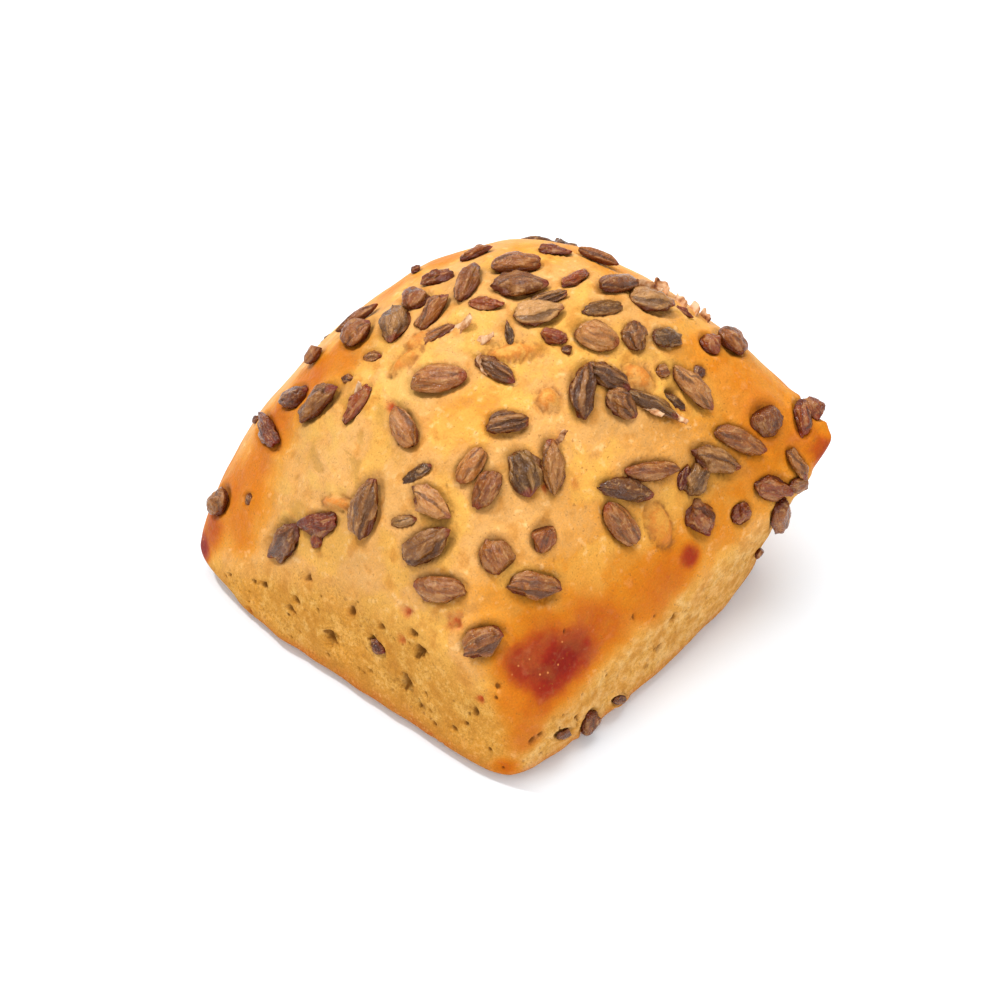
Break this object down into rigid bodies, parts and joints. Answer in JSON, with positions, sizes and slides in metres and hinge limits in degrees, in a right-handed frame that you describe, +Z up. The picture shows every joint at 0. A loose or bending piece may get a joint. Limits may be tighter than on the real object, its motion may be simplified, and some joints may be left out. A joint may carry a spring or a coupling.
{
  "type": "bread roll",
  "caption": "Square bread roll cut from a sheet of dough, with a domed crust topped with sunflower kernels and open, porous cut sides.",
  "frame": {"origin": "middle of the part's box, on the surface that the roll stands on", "axes": "+Z up; the four cut sides face -X, +X, -Y and +Y, and the picture looks from the near corner at -X, -Y"},
  "size_m": [0.089, 0.0864, 0.0563],
  "materials": {
    "crust": "baked wheat crust, soft satin on top and matt on the cut sides"
  },
  "bodies": {
    "root": {"roll": "crust"}
  },
  "joints": []
}
